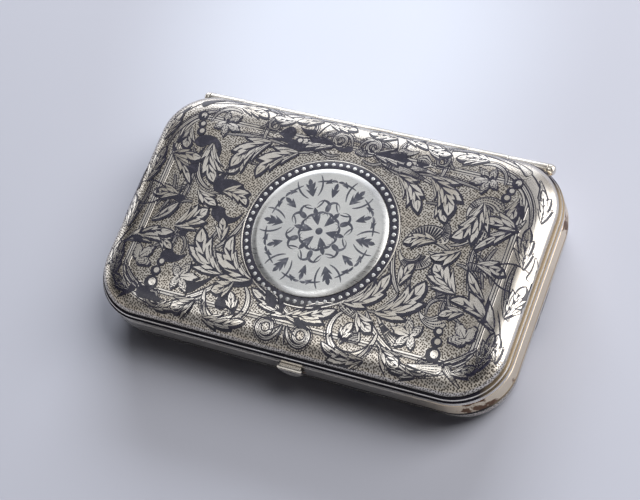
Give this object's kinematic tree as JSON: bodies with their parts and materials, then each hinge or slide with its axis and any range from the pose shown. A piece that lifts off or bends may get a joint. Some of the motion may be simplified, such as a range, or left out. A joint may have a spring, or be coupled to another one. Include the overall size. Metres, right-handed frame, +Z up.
{
  "type": "niello silver case",
  "caption": "Hinged pillow-shaped pocket case with a raised round plate, reeded rims, a barrel hinge and a sprung thumb catch.",
  "frame": {"origin": "on the table under the middle of the closed case, in the plane of its flat bottom", "axes": "+X to the right along the long side, +Y back to the hinge, +Z up out of the lid"},
  "size_m": [0.0944, 0.0582, 0.019],
  "materials": {
    "silver": "satin silver inlaid with dark niello foliage on a stippled ground",
    "toned_silver": "toned satin silver with niello ornament",
    "golden_silver": "plain silver toned golden beige, with brown tarnish in the hollows",
    "bright_silver": "polished silver, finely scratched",
    "steel": "dull spring steel"
  },
  "bodies": {
    "base": {"base_pan": "toned_silver", "base_band": "golden_silver", "base_liner": "golden_silver", "base_hinge_bearer": "golden_silver", "base_knuckle_1": "golden_silver", "base_knuckle_2": "golden_silver", "base_knuckle_3": "golden_silver", "base_knuckle_4": "golden_silver", "base_knuckle_5": "golden_silver", "hinge_pin": "steel", "hinge_cap_left": "golden_silver", "hinge_cap_right": "golden_silver", "catch_spring": "steel", "catch_rivet_left": "steel", "catch_rivet_right": "steel"},
    "lid": {"lid_rim": "silver", "lid_cover": "silver", "cartouche_plate": "bright_silver", "lid_hinge_bearer": "silver", "lid_knuckle_1": "silver", "lid_knuckle_2": "silver", "lid_knuckle_3": "silver", "lid_knuckle_4": "silver", "lid_keeper": "silver"},
    "catch": {"thumb_piece": "bright_silver", "latch_hook": "steel"}
  },
  "joints": [
    {"name": "lid_hinge", "type": "hinge", "parent": "base", "child": "lid", "pos_m": [0, 0.02795, 0.0114], "axis": [-1, 0, 0], "range_deg": [0, 110]},
    {"name": "thumb_press", "type": "slide", "parent": "base", "child": "catch", "axis": [0, 1, 0], "range_m": [0, 0.0005], "stiffness_N_per_m": 1500, "springref_m": -0.0007, "deforming": ["catch_spring"]}
  ]
}
